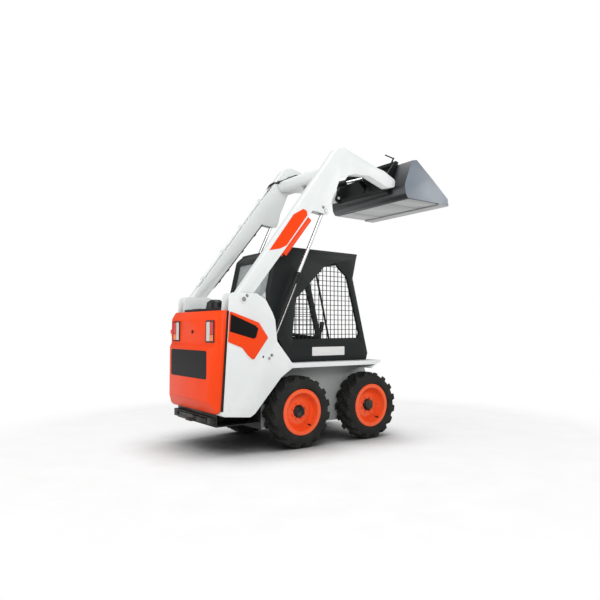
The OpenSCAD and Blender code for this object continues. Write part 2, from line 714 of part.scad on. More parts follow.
module lift_barrel() {
    difference() {
        union() {
            rod(base, lift_a, barrel_d / 2, 20, barrel_len, arm_mid);
            rod(base, lift_a, barrel_d / 2 + 5, barrel_len - 40, barrel_len, arm_mid);
            bar(base, eye_r, arm_mid - eye_w / 2, arm_mid + eye_w / 2);
        }
        bar(base, cyl_pin_d / 2 + fit, arm_mid - eye_w, arm_mid + eye_w);
        rod(base, lift_a, rod_d / 2 + fit, barrel_len - 760, barrel_len + 1, arm_mid);
    }
}
module lift_barrels() { color("black") both() lift_barrel(); }
module lift_rod() {
    difference() {
        union() {
            rod(base, lift_a, rod_d / 2, barrel_len - 80, lift_len - 10, arm_mid);
            bar(rod_pin, eye_r, arm_mid - eye_w / 2, arm_mid + eye_w / 2);
        }
        bar(rod_pin, cyl_pin_d / 2 + fit, arm_mid - eye_w, arm_mid + eye_w);
    }
}
module lift_rods() { color("silver") both() lift_rod(); }

module tilt_barrel() {
    color("black") difference() {
        union() {
            rod(tilt_base, tilt_a, tilt_barrel_d / 2, 26, tilt_barrel_len, 0);
            bar(tilt_base, eye_r + 6, -tilt_barrel_d / 2, tilt_barrel_d / 2);
        }
        bar(tilt_base, cyl_pin_d / 2 + fit, -tilt_barrel_d, tilt_barrel_d);
        rod(tilt_base, tilt_a, tilt_rod_d / 2 + fit, 100, tilt_barrel_len + 1, 0);
    }
}
module tilt_rod() {
    color("silver") difference() {
        union() {
            rod(tilt_base, tilt_a, tilt_rod_d / 2, tilt_len - 470, tilt_len - 10, 0);
            bar(tilt_pin, eye_r, -tilt_eye_w / 2, tilt_eye_w / 2);
        }
        bar(tilt_pin, cyl_pin_d / 2 + fit, -tilt_eye_w, tilt_eye_w);
    }
}

// Quick attach and bucket

module at_hinge() { translate([hinge.x, 0, hinge.y]) children(); }
// Along the bucket's back from the hinge: s upwards, t forwards
function along(s, t) = s * [sin(back_lean), cos(back_lean)] + t * [cos(back_lean), -sin(back_lean)];
function strip(s0, s1, t0, t1) = [along(s0, t0), along(s0, t1), along(s1, t1), along(s1, t0)];
module quick_attach() {
    foot = -70;
    head = 345;
    face_plate = 14;
    sunk = 6;
    color("dimgray") at_hinge() difference() {
        union() {
            difference() {
                flat(-ear_out, ear_out) polygon(strip(foot, head, face_t - face_plate, face_t));
                flat(-lug_in - 4, lug_in + 4)
                    polygon(strip(foot + 70, head - 50, face_t - face_plate - 1, face_t + 1));
            }
            flat(-ear_out + 2, ear_out - 2) polygon(strip(foot + 2, foot + 68, face_t - 60, face_t - sunk));
            flat(-ear_out + 2, ear_out - 2) polygon(strip(head - 48, head - 2, face_t - 40, face_t - sunk));
            both() flat(ear_in, ear_out) polygon(rounded([xy3(along(-40, -36), 30),
                xy3(along(foot + 4, face_t - sunk), 0), xy3(along(head - 4, face_t - sunk), 0),
                xy3(along(head - 4, face_t - 50), 20), xy3(along(60, -36), 40)]));
            both() flat(lug_in, lug_in + lug_t) polygon(rounded([xy3(along(90, face_t - sunk), 0),
                xy3(along(250, face_t - sunk), 0), xy3(along(tilt_crank + 40, -50), 30),
                xy3(along(tilt_crank - 40, -54), 30)]));
        }
        both() bar([0, 0], hinge_d / 2 + fit, ear_in - 10, ear_out + 10);
    }
}
function xy3(p, r) = [p.x, p.y, r];

module attach_levers() {
    color("black") at_hinge() both() {
        p = along(345, face_t - 30);
        rod(p, 90 - back_lean - 8, 9, 0, 70, ear_in - 60);
        q = p + 62 * [cos(90 - back_lean - 8), sin(90 - back_lean - 8)];
        rod(q, 172, 7, 0, 130, ear_in - 60);
    }
}

bucket_pts = [[back_high.x, back_high.y, 12], [back_low.x, back_low.y, 60], [bucket_back + 14, -122, 60],
    [bucket_back + 48, -bucket_drop + 2, 30], [bucket_reach, -bucket_drop],
    [bucket_reach - 7, -bucket_drop + 70, 8], [534, 96, 60], [bucket_back + 191, bucket_top, 12]];
module bucket_shell() {
    half = bucket_w / 2;
    inner = inset(bucket_pts, bucket_t);
    open = concat([for (i = [0 : 4]) inner[i]], [[bucket_reach + 40, -bucket_drop + bucket_t],
        [bucket_reach + 40, bucket_top - 8 - bucket_t], inner[7]]);
    color("slategray") at_hinge() {
        difference() {
            flat(-half, half) polygon(rounded(bucket_pts));
            flat(-half + bucket_t + 2, half - bucket_t - 2) polygon(rounded(open));
        }
        wear_plates(half);
    }
}
// Three plates under the floor, with gaps between them
module wear_plates(half) {
    span = bucket_reach - bucket_back - 247;
    for (y = [[-half + 18, -half / 2 - 7], [-half / 2 + 7, half / 2 - 7], [half / 2 + 7, half - 18]])
        translate([bucket_back + 75, y[0], -bucket_drop - 5]) cube([span, y[1] - y[0], 6]);
}
module cutting_edge() {
    half = bucket_w / 2;
    color("gray") at_hinge() flat(-half, half) polygon([[bucket_reach - 160, -bucket_drop - edge_t],
        [bucket_reach - 15, -bucket_drop - edge_t], [bucket_reach + 15, -bucket_drop],
        [bucket_reach - 160, -bucket_drop]]);
}

place() main_frame();
place() upright_right();
place() upright_left();
place() fenders();
place() side_mouldings();
place() rear_bumper();
place() engine();
place() axle_tubes();
place() cab_side_right();
place() cab_side_left();
place() screen_right();
place() screen_left();
place() cab_roof();
place() cab_rear();
place() rear_window();
place() seat_deck();
place() seat_cushion();
place() seat_back();
place() seat_bar();
place() control_levers();
place() work_lamps();
place() tailgate();
place() tail_lamps();
place() engine_cover();
place() arm_right();
place() arm_left();
place() cross_tube();
place() arm_support();
place() arm_pipes();
place() lift_barrels();
place() lift_rods();
place() tilt_barrel();
place() tilt_rod();
place() quick_attach();
place() attach_levers();
place() bucket_shell();
place() cutting_edge();
place() rim(0, -1);  // rim_rear_right
place() rim(0, 1);  // rim_rear_left
place() rim(wheelbase, -1);  // rim_front_right
place() rim(wheelbase, 1);  // rim_front_left
place() tyre(0, -1);  // tyre_rear_right
place() tyre(0, 1);  // tyre_rear_left
place() tyre(wheelbase, -1);  // tyre_front_right
place() tyre(wheelbase, 1);  // tyre_front_left
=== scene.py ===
import json
import math
import bmesh
import bpy
from mathutils import Matrix, Vector


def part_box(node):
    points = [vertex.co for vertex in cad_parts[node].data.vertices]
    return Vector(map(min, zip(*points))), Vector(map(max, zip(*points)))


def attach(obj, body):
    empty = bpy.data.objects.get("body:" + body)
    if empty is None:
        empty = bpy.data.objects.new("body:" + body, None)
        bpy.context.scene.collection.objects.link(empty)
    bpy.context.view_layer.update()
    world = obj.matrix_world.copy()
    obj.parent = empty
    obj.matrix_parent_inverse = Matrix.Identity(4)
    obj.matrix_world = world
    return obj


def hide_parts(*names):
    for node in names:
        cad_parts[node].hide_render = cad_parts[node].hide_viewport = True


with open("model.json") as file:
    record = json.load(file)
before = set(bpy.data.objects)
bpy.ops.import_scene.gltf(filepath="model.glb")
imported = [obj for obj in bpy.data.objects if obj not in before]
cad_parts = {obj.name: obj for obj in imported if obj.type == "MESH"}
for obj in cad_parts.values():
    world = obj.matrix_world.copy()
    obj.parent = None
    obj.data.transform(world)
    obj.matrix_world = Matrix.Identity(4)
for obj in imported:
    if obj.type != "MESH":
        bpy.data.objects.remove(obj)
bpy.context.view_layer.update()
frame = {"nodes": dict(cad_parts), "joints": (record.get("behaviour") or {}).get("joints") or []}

scene = bpy.context.scene
nodes = frame["nodes"]
# joints with a place of their own, in metres
jointAt = {j["name"]: Vector(j["pos_m"]) for j in frame["joints"] if "pos_m" in j}
armPivot = jointAt["arm_lift"]
bucketHinge = jointAt["bucket_tilt"]
rearAxleX = jointAt["wheel_rear_left_spin"].x
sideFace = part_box("fenders")[1].y          # outer face of the body's side plates
armFace = sideFace - 0.018                 # outer face of the arms
armInside = armFace - 0.1                  # their inner face
bothSides = {"right": -1, "left": 1}
print("frame loaded:", len(nodes), "solids")


# shader maths: a wrapped socket, so that 1 - mask or mask * 0.3 adds Math nodes
class Wire:
    def __init__(self, tree, socket):
        self.tree = tree
        self.socket = socket

    def maths(self, operation, first, second):
        mathNode = self.tree.nodes.new("ShaderNodeMath")
        mathNode.operation = operation
        for value, port in zip((first, second), mathNode.inputs):
            feed(self.tree, value, port)
        return Wire(self.tree, mathNode.outputs[0])

    def __add__(self, other):
        return self.maths("ADD", self, other)

    def __radd__(self, other):
        return self.maths("ADD", other, self)

    def __sub__(self, other):
        return self.maths("SUBTRACT", self, other)

    def __rsub__(self, other):
        return self.maths("SUBTRACT", other, self)

    def __mul__(self, other):
        return self.maths("MULTIPLY", self, other)

    def __rmul__(self, other):
        return self.maths("MULTIPLY", other, self)

    def __pow__(self, other):
        return self.maths("POWER", self, other)

    def atLeast(self, other):
        return self.maths("MAXIMUM", self, other)


def feed(tree, value, port):
    if isinstance(value, Wire):
        tree.links.new(value.socket, port)
    elif hasattr(port.default_value, "__len__") and len(port.default_value) == 4 and len(value) == 3:
        port.default_value = (*value, 1)
    else:
        port.default_value = value


# the nodes of a material or the world: add() makes each one, show() sends a shader to the output
class NodeSet:
    def __init__(self, owner, outputKind):
        owner.use_nodes = True
        self.tree = owner.node_tree
        self.tree.nodes.clear()
        self.output = self.tree.nodes.new(outputKind)

    def add(self, kind, settings, sockets, out=0):
        made = self.tree.nodes.new(kind)
        for key, value in settings.items():
            setattr(made, key, value)
        for key, value in sockets.items():
            feed(self.tree, value, made.inputs[key])
        return Wire(self.tree, made.outputs[out])

    def show(self, shader):
        self.tree.links.new(shader.socket, self.output.inputs[0])


# one material: a Principled shader, with the nodes that its look often needs
class Finish(NodeSet):
    def __init__(self, name, blended=False):
        self.material = bpy.data.materials.new(name)
        super().__init__(self.material, "ShaderNodeOutputMaterial")
        self.shader = self.add("ShaderNodeBsdfPrincipled", {}, {})
        self.show(self.shader)
        if blended:
            self.material.surface_render_method = "BLENDED"
        self.place = self.add("ShaderNodeTexCoord", {}, {}, "Object")

    def noise(self, scale, detail=3, rough=0.55, stretch=None):
        where = self.place
        if stretch:
            where = self.add("ShaderNodeVectorMath", {"operation": "MULTIPLY"}, {0: where, 1: stretch})
        return self.add("ShaderNodeTexNoise", {}, {"Vector": where, "Scale": scale, "Detail": detail,
                                                   "Roughness": rough})

    def ramp(self, value, low, high):
        return self.add("ShaderNodeMapRange", {"clamp": True},
                        {"Value": value, "From Min": low, "From Max": high})

    def mix(self, share, first, second):
        return self.add("ShaderNodeMix", {"data_type": "RGBA"}, {0: share, 6: first, 7: second}, 2)

    def height(self):
        return self.add("ShaderNodeSeparateXYZ", {}, {0: self.place}, "Z")

    def bump(self, value, strength, depth):
        return self.add("ShaderNodeBump", {}, {"Strength": strength, "Distance": depth, "Height": value})

    def set(self, sockets):
        for key, value in sockets.items():
            feed(self.tree, value, self.shader.socket.node.inputs[key])
        return self.material


# sprayed paint: base and dulled colour, gloss, orange peel and dust that gathers low down
sprayLook = {"dustTop": 0.75, "dustFull": 0.15, "dustTone": (0.42, 0.38, 0.33), "under": (0.01, 0.01, 0.011),
             "peelDepth": 0.0006, "coatRough": 0.12, "shine": 0.4}


def sprayed(name, look):
    f = Finish(name)
    broad = f.noise(1.7, 4)
    fine = f.noise(260, 2)
    patch = f.noise(14, 5, 0.65)
    tone = f.mix(f.ramp(broad, 0.35, 0.7), look["colour"], look["dulled"])
    low = f.ramp(f.height(), sprayLook["dustTop"], sprayLook["dustFull"])
    dust = low * f.ramp(patch, 0.42, 0.72) * look["dust"]
    tone = f.mix(dust, tone, sprayLook["dustTone"])
    if "blackBehind" in look:      # parts of the frame behind this x are made near-black
        along = f.add("ShaderNodeSeparateXYZ", {}, {0: f.place}, "X")
        line = look["blackBehind"]
        tone = f.mix(f.ramp(along, line - 0.001, line + 0.001), sprayLook["under"], tone)
    gloss = look["rough"] + 0.1 * broad + 0.35 * dust
    skin = f.bump(fine * 0.7 + patch * 0.3, look["peel"], sprayLook["peelDepth"])
    return f.set({"Base Color": tone, "Roughness": gloss, "Normal": skin, "Coat Weight": look["coat"],
                  "Coat Roughness": sprayLook["coatRough"],
                  "Specular IOR Level": look.get("shine", sprayLook["shine"])})


whitePaint = sprayed("whitePaint", {"colour": (0.74, 0.765, 0.76), "dulled": (0.68, 0.71, 0.705),
                                    "rough": 0.32, "peel": 0.05, "coat": 0.15, "dust": 0.25})
# painted shade: the frame's light grey is darkened to the tone it shows in the shade under the fenders
frameGreyPaintedShade = sprayed("frameGreyPaintedShade", {"colour": (0.34, 0.36, 0.35), "dulled": (0.29, 0.31, 0.30),
                                    "rough": 0.38, "peel": 0.06, "coat": 0.1, "dust": 0.35,
                                    "blackBehind": rearAxleX - 0.35})
orangePaint = sprayed("orangePaint", {"colour": (0.86, 0.055, 0.001), "dulled": (0.78, 0.046, 0.001),
                                      "rough": 0.34, "peel": 0.05, "coat": 0.05, "dust": 0.06, "shine": 0.18})
# the rims' own orange, made lighter and paler than the body's orange as a painted highlight
rimOrangePaintedHighlight = sprayed("rimOrangePaintedHighlight", {"colour": (0.90, 0.085, 0.006), "dulled": (0.86, 0.10, 0.018), "rough": 0.28,
                                "peel": 0.05, "coat": 0.3, "dust": 0.1, "shine": 0.35})
charcoalPaint = sprayed("charcoalPaint", {"colour": (0.011, 0.014, 0.0136), "dulled": (0.008, 0.0105, 0.0104),
                                          "rough": 0.4, "peel": 0.12, "coat": 0.02, "dust": 0.12,
                                          "shine": 0.22})
blackPaint = sprayed("blackPaint", {"colour": (0.006, 0.0065, 0.007), "dulled": (0.010, 0.0105, 0.0105),
                                    "rough": 0.38, "peel": 0.1, "coat": 0.04, "dust": 0.2, "shine": 0.22})
platePaint = sprayed("platePaint", {"colour": (0.006, 0.006, 0.0065), "dulled": (0.009, 0.009, 0.009),
                                    "rough": 0.3, "peel": 0.03, "coat": 0.0, "dust": 0.0, "shine": 0.1})
labelWhite = sprayed("labelWhite", {"colour": (0.72, 0.72, 0.71), "dulled": (0.66, 0.66, 0.65), "rough": 0.4,
                                    "peel": 0.02, "coat": 0.1, "dust": 0.0})


# bucket paint: blue-grey, brushed by use along X; faces turned to the rear and down get a painted shade
def bucketMade(name, look):
    f = Finish(name)
    broad = f.noise(2.6, 4)
    streak = f.noise(60, 3, 0.6, (0.12, 1, 1))
    fine = f.noise(420, 2)
    tone = f.mix(f.ramp(broad, 0.3, 0.7), look["colour"], look["dulled"])
    if "paintedShade" in look:
        # painted shade: near-black on faces that turn rearward or down, which also darkens the gaps between
        # the wear plates
        turned = f.add("ShaderNodeTexCoord", {}, {}, "Normal")
        rearward = 0 - f.add("ShaderNodeSeparateXYZ", {}, {0: turned}, "X")
        downward = 0 - f.add("ShaderNodeSeparateXYZ", {}, {0: turned}, "Z")
        tone = f.mix(f.ramp(rearward.atLeast(downward), 0.3, 0.5), tone, look["paintedShade"])
    if "floor" in look:            # the wear plates stand out under the floor
        tone = f.mix(f.ramp(f.height(), look["floor"], look["floor"] - 0.001), tone, look["plates"])
    bare = f.ramp(streak * 0.7 + broad * 0.3, 0.6, 0.75) * look["scrape"]
    tone = f.mix(bare, tone, look["bare"])
    return f.set({"Base Color": tone, "Metallic": bare * 0.7,
                  "Roughness": 0.26 + 0.16 * broad + 0.1 * streak,
                  "Normal": f.bump(streak * 0.5 + fine * 0.5, 0.06, 0.0006),
                  "Coat Weight": 0.2, "Coat Roughness": 0.2})


bucketPaint = bucketMade("bucketPaint", {"colour": (0.20, 0.23, 0.27), "dulled": (0.15, 0.175, 0.205),
                                         "scrape": 0.2, "bare": (0.42, 0.43, 0.44),
                                         "paintedShade": (0.016, 0.019, 0.022), "floor": bucketHinge.z - 0.1705,
                                         "plates": (0.33, 0.335, 0.335)})
wearSteel = bucketMade("wearSteel", {"colour": (0.34, 0.345, 0.345), "dulled": (0.28, 0.285, 0.29),
                                     "scrape": 0.4, "bare": (0.42, 0.43, 0.44)})


# bright rods and pipes: ground steel with fine turning marks
def brightSteelMade(name, colour, rough, mark):
    f = Finish(name)
    turn = f.noise(900, 2, 0.5)
    broad = f.noise(5, 3)
    return f.set({"Base Color": f.mix(broad, colour, tuple(c * 0.86 for c in colour)), "Metallic": 1.0,
                  "Roughness": rough + 0.1 * broad, "Normal": f.bump(turn, mark, 0.0002)})


brightSteel = brightSteelMade("brightSteel", (0.72, 0.73, 0.74), 0.13, 0.05)
zincSteel = brightSteelMade("zincSteel", (0.42, 0.42, 0.40), 0.36, 0.12)


# rubber: dull black with paler dusty patches
def rubberMade(name, dusty):
    f = Finish(name)
    broad = f.noise(7, 5, 0.6)
    grain = f.noise(420, 3)
    pale = f.ramp(broad, 0.45, 0.8) * dusty
    tone = f.mix(pale, (0.011, 0.0116, 0.0105), (0.042, 0.042, 0.037))
    return f.set({"Base Color": tone, "Roughness": 0.62 + 0.2 * broad, "Specular IOR Level": 0.25,
                  "Normal": f.bump(grain * 0.6 + broad * 0.4, 0.2, 0.0015)})


tyreRubber = rubberMade("tyreRubber", 0.55)
hoseRubber = rubberMade("hoseRubber", 0.2)


# moulded plastic with a fine grain
def plasticMade(name, colour, rough):
    f = Finish(name)
    grain = f.noise(650, 2)
    broad = f.noise(9, 3)
    tone = f.mix(broad, colour, tuple(c * 0.75 for c in colour))
    return f.set({"Base Color": tone, "Roughness": rough + 0.14 * broad,
                  "Normal": f.bump(grain, 0.15, 0.0005)})


blackPlastic = plasticMade("blackPlastic", (0.01, 0.01, 0.0105), 0.42)


# ribbed lamp lens: moulded prisms under a clear skin, and a faint painted glow from its emission
def lensMade(name, colour, ribs, paintedGlow):
    f = Finish(name)
    rib = f.add("ShaderNodeTexWave", {"wave_type": "BANDS", "bands_direction": "Z"},
                {"Vector": f.place, "Scale": ribs, "Distortion": 0.0})
    tone = f.mix(rib, colour, tuple(min(1, c * 1.5) for c in colour))
    return f.set({"Base Color": tone, "Roughness": 0.12 + 0.05 * rib, "Normal": f.bump(rib, 0.4, 0.0015),
                  "Coat Weight": 0.35, "Emission Color": colour, "Emission Strength": paintedGlow})


redLens = lensMade("redLens", (0.50, 0.008, 0.006), 55, 0.05)
clearLens = lensMade("clearLens", (0.46, 0.45, 0.43), 55, 0.04)
amberLens = lensMade("amberLens", (0.70, 0.15, 0.012), 55, 0.04)


# seat vinyl with leather grain
def vinylMade():
    f = Finish("seatVinyl")
    cells = f.add("ShaderNodeTexVoronoi", {"feature": "DISTANCE_TO_EDGE"},
                  {"Vector": f.place, "Scale": 260})
    broad = f.noise(8, 4)
    tone = f.mix(broad, (0.02, 0.02, 0.021), (0.035, 0.035, 0.036))
    return f.set({"Base Color": tone, "Roughness": 0.4 + 0.2 * broad,
                  "Normal": f.bump(f.ramp(cells, 0, 0.12), 0.35, 0.0007), "Sheen Weight": 0.1})


seatVinyl = vinylMade()


# pale cab glass with faint smears
def glassMade():
    f = Finish("windowGlass", blended=True)
    smear = f.noise(3, 5, 0.7)
    return f.set({"Base Color": (0.76, 0.83, 0.82), "Roughness": 0.03 + 0.05 * smear,
                  "Alpha": 0.34 + 0.1 * smear, "Specular IOR Level": 0.6})


windowGlass = glassMade()
print("finishes made:", len(bpy.data.materials))


# camera solved from the near wheels and both ends of bucket, arms and tail; it looks slightly up
view = {"behind": 3.26, "right": 5.099, "high": 1.127, "yaw": 54.46, "pitch": 2.85, "lens": 34.98}


def addCamera():
    lens = bpy.data.cameras.new("photoCamera")
    lens.lens = view["lens"]
    lens.sensor_width = 36
    lens.clip_end = 200
    camera = bpy.data.objects.new("photoCamera", lens)
    yaw, pitch = math.radians(view["yaw"]), math.radians(view["pitch"])
    look = Vector((math.cos(pitch) * math.cos(yaw), math.cos(pitch) * math.sin(yaw), math.sin(pitch)))
    camera.rotation_euler = look.to_track_quat("-Z", "Y").to_euler()
    camera.location = (rearAxleX - view["behind"], -view["right"], view["high"])
    scene.collection.objects.link(camera)
    scene.camera = camera


# lamps: name, place, aim, size, power
studio = {"worldLight": 0.3, "floorTone": 0.9, "bounceTone": 0.42, "floorSize": 60, "floorTop": -0.0005,
          "fadeFrom": 1.2, "fadeTo": 4.0, "contactReach": 0.7, "openWhite": 0.72,
          "lamps": [("keySoftbox", (-3.5, -6.2, 4.4), (0, 0, 1.2), 5.0, 315),
                    ("topSoftbox", (0.5, 0.5, 8.0), (0, 0, 0.8), 5.0, 300),
                    ("frontSoftbox", (6.0, -3.5, 3.8), (0, 0, 1.3), 4.0, 110),
                    ("backSoftbox", (-6.5, 1.5, 3.2), (0, 0, 1.0), 4.0, 150)]}


def addStudio():
    world = bpy.data.worlds.new("studioWorld")
    scene.world = world
    sky, level = NodeSet(world, "ShaderNodeOutputWorld"), studio["worldLight"]
    seen = sky.add("ShaderNodeLightPath", {}, {}, "Is Camera Ray")
    through = sky.add("ShaderNodeLightPath", {}, {}, "Is Transmission Ray")
    strength = seen.atLeast(through) * (1 - level) + level        # white to the eye, dimmer as a light
    sky.show(sky.add("ShaderNodeBackground", {}, {"Color": (1.0, 1.0, 1.0), "Strength": strength}))
    for name, place, aim, size, power in studio["lamps"]:
        lamp = bpy.data.lights.new(name, "AREA")
        lamp.shape = "DISK"
        lamp.size = size
        lamp.energy = power
        holder = bpy.data.objects.new(name, lamp)
        holder.location = place
        holder.rotation_euler = (Vector(aim) - Vector(place)).to_track_quat("-Z", "Y").to_euler()
        scene.collection.objects.link(holder)
    scene.view_settings.view_transform = "Standard"


# pale floor that takes the lamps' shadow and a contact shadow painted in from ambient occlusion near the
# machine, and runs out into the white backdrop
def addFloor():
    f = Finish("studioFloor")
    speck = f.noise(3, 3)
    tone, bounce = studio["floorTone"], studio["bounceTone"]
    # pale to the eye, less bright as a reflector, with a contact shadow painted in from ambient occlusion
    seen = f.add("ShaderNodeLightPath", {}, {}, "Is Camera Ray")
    near = f.add("ShaderNodeAmbientOcclusion", {"samples": 8}, {"Distance": studio["contactReach"]}, "AO")
    pale = f.mix(speck * 0.3 + (1 - near ** 1.3), (tone, tone, tone), (tone * 0.03,) * 3)
    f.set({"Base Color": f.mix(seen, (bounce, bounce, bounce), pale), "Roughness": 0.7 + 0.1 * speck,
           "Specular IOR Level": 0.15})
    away = f.add("ShaderNodeVectorMath", {"operation": "LENGTH"}, {0: f.place}, "Value")
    white = f.add("ShaderNodeEmission", {}, {"Color": (1.0, 1.0, 1.0), "Strength": 1.0})
    fade = f.add("ShaderNodeMapRange", {"clamp": True, "interpolation_type": "SMOOTHSTEP"},
                 {"Value": away, "From Min": studio["fadeFrom"], "From Max": studio["fadeTo"]})
    fade = fade.atLeast(near ** 3 * studio["openWhite"])     # open floor glows nearly white by its ambient occlusion, a painted light; the painted shadow stays
    f.show(f.add("ShaderNodeMixShader", {}, {0: fade, 1: f.shader, 2: white}))
    size = studio["floorSize"]
    mesh = bpy.data.meshes.new("studioFloor")
    corners = [(-size, -size), (size, -size), (size, size), (-size, size)]
    mesh.from_pydata([(x, y, studio["floorTop"]) for x, y in corners], [], [(0, 1, 2, 3)])
    mesh.materials.append(f.material)
    floor = bpy.data.objects.new("studioFloor", mesh)
    scene.collection.objects.link(floor)


addCamera()
addStudio()
addFloor()
print("camera and studio placed")


# finish of every solid that stays, with the width of its broken edges in metres
solidFinish = {
    frameGreyPaintedShade: {"main_frame": 0.003},
    whitePaint: {"upright_right": 0.003, "upright_left": 0.003, "fenders": 0.003,
                 "arm_right": 0.006, "arm_left": 0.006, "cross_tube": 0.006, "arm_pipes": 0.002},
    orangePaint: {"side_mouldings": 0.003, "tailgate": 0.008, "arm_support": 0.002},
    rimOrangePaintedHighlight: {"rim_rear_right": 0.003, "rim_rear_left": 0.003,
               "rim_front_right": 0.003, "rim_front_left": 0.003},
    charcoalPaint: {"cab_side_right": 0.008, "cab_side_left": 0.008, "cab_roof": 0.008, "cab_rear": 0.006,
                    "screen_right": 0.0, "screen_left": 0.0},
    blackPaint: {"rear_bumper": 0.004, "axle_tubes": 0.003, "engine_cover": 0.004, "lift_barrels": 0.002,
                 "tilt_barrel": 0.002, "quick_attach": 0.003, "attach_levers": 0.002, "seat_deck": 0.003,
                 "seat_bar": 0.002, "engine": 0.01},
    brightSteel: {"lift_rods": 0.002, "tilt_rod": 0.002},
    bucketPaint: {"bucket_shell": 0.0015},
    wearSteel: {"cutting_edge": 0.003},
    blackPlastic: {"control_levers": 0.004, "work_lamps": 0.006},
    windowGlass: {"rear_window": 0.0},
}


# small bevels on the sharp edges, with the seams of the meshed solids joined first
edgeLook = {"segments": 2, "sharpAngle": 32, "weld": 0.00005}


def breakEdges(piece, width):
    bevel = piece.modifiers.new("brokenEdges", "BEVEL")
    bevel.width = width
    bevel.segments = edgeLook["segments"]
    bevel.limit_method = "ANGLE"
    bevel.angle_limit = math.radians(edgeLook["sharpAngle"])
    bevel.harden_normals = True


def softenEdges(piece, width):
    for face in piece.data.polygons:
        face.use_smooth = True
    weld = piece.modifiers.new("joinSeams", "WELD")
    weld.merge_threshold = edgeLook["weld"]
    if width:
        breakEdges(piece, width)


for material, members in solidFinish.items():
    for name, width in members.items():
        solid = nodes[name]
        solid.data.materials.clear()
        solid.data.materials.append(material)
        softenEdges(solid, width)
print("solids finished:", sum(len(m) for m in solidFinish.values()))


# a new piece with its finish, its broken edges and its body
def newPiece(name, mesh, material, body, bevel=0.0):
    piece = bpy.data.objects.new(name, mesh)
    mesh.materials.append(material)
    scene.collection.objects.link(piece)
    for face in mesh.polygons:
        face.use_smooth = True
    if bevel:
        breakEdges(piece, bevel)
    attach(piece, body)
    return piece


def meshFrom(name, build):
    mesh = bpy.data.meshes.new(name)
    made = bmesh.new()
    build(made)
    bmesh.ops.recalc_face_normals(made, faces=made.faces)
    made.to_mesh(mesh)
    made.free()
    return mesh


def addBox(made, low, high):
    low, high = Vector(low), Vector(high)
    middle = (low + high) / 2
    size = Matrix.Diagonal((*(high - low), 1))
    bmesh.ops.create_cube(made, size=1, matrix=Matrix.Translation(middle) @ size)


def addRound(made, start, end, radius, endRadius=None, sides=24):
    start, end = Vector(start), Vector(end)
    along = end - start
    turn = along.to_track_quat("Z", "Y").to_matrix().to_4x4()
    bmesh.ops.create_cone(made, cap_ends=True, segments=sides, radius1=radius,
                          radius2=radius if endRadius is None else endRadius, depth=along.length,
                          matrix=Matrix.Translation((start + end) / 2) @ turn)


def addSlab(made, outline, low, high):
    # an XZ outline as a plate between two widths
    near = [made.verts.new((x, low, z)) for x, z in outline]
    far = [made.verts.new((x, high, z)) for x, z in outline]
    count = len(outline)
    made.faces.new(near)
    made.faces.new(list(reversed(far)))
    for i in range(count):
        k = (i + 1) % count
        made.faces.new((near[i], far[i], far[k], near[k]))


def addLathe(made, profile, centre, side, steps=72):
    # profile is (radius, distance out along the axle); side is +1 left, -1 right
    rings = []
    for radius, out in profile:
        ring = []
        for i in range(steps):
            angle = 2 * math.pi * i / steps
            ring.append(made.verts.new((centre.x + radius * math.cos(angle), centre.y + side * out,
                                        centre.z + radius * math.sin(angle))))
        rings.append(ring)
    for a, b in zip(rings, rings[1:]):
        for i in range(steps):
            k = (i + 1) % steps
            made.faces.new((a[i], a[k], b[k], b[i]))
    return rings


def addRing(made, start, end, inner, outer, sides=40):
    # a flat band round an axis, open in the middle
    start, end = Vector(start), Vector(end)
    turn = (end - start).to_track_quat("Z", "Y")
    rings = []
    for place, radius in ((start, inner), (start, outer), (end, outer), (end, inner)):
        rings.append([made.verts.new(place + turn @ Vector((radius * math.cos(2 * math.pi * i / sides),
                                                            radius * math.sin(2 * math.pi * i / sides), 0)))
                      for i in range(sides)])
    for a, b in zip(rings, rings[1:] + rings[:1]):
        for i in range(sides):
            k = (i + 1) % sides
            made.faces.new((a[i], a[k], b[k], b[i]))


def hoseCurve(name, points, radius, material, body):
    curve = bpy.data.curves.new(name, "CURVE")
    curve.dimensions = "3D"
    curve.bevel_depth = radius
    curve.bevel_resolution = 4
    curve.use_fill_caps = True
    line = curve.splines.new("BEZIER")
    line.bezier_points.add(len(points) - 1)
    for knot, place in zip(line.bezier_points, points):
        knot.co = place
        knot.handle_left_type = knot.handle_right_type = "AUTO"
    piece = bpy.data.objects.new(name, curve)
    curve.materials.append(material)
    scene.collection.objects.link(piece)
    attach(piece, body)
    return piece


# tyres: carcass with rim guard rings, and two rows of bar lugs set half a pitch apart
tyreLook = {"width": 0.216, "radius": 0.34, "lugDepth": 0.023, "lugs": 16, "lugWidth": 0.052,
            "sweep": math.radians(14), "shoulderDrop": 0.046}
wheelNames = ["rear_right", "rear_left", "front_right", "front_left"]


def tyreProfile():
    # radius and distance out, from the bead over the rim guard to the crown
    half, top = tyreLook["width"] / 2, tyreLook["radius"] - tyreLook["lugDepth"]
    outer = [(0.1905, half - 0.0225), (0.2200, half - 0.0222), (0.2240, half - 0.0100),
             (0.2320, half - 0.0060), (0.2350, half - 0.0022), (0.2420, half - 0.0022),
             (0.2440, half - 0.0008), (0.2640, half), (0.2840, half - 0.0020), (0.2990, half - 0.0080),
             (0.3080, half - 0.0180), (top - 0.004, half - 0.0340), (top, half - 0.0600), (top + 0.002, 0.0)]
    inner = [(r, -y) for r, y in reversed(outer[:-1])]
    return outer + inner


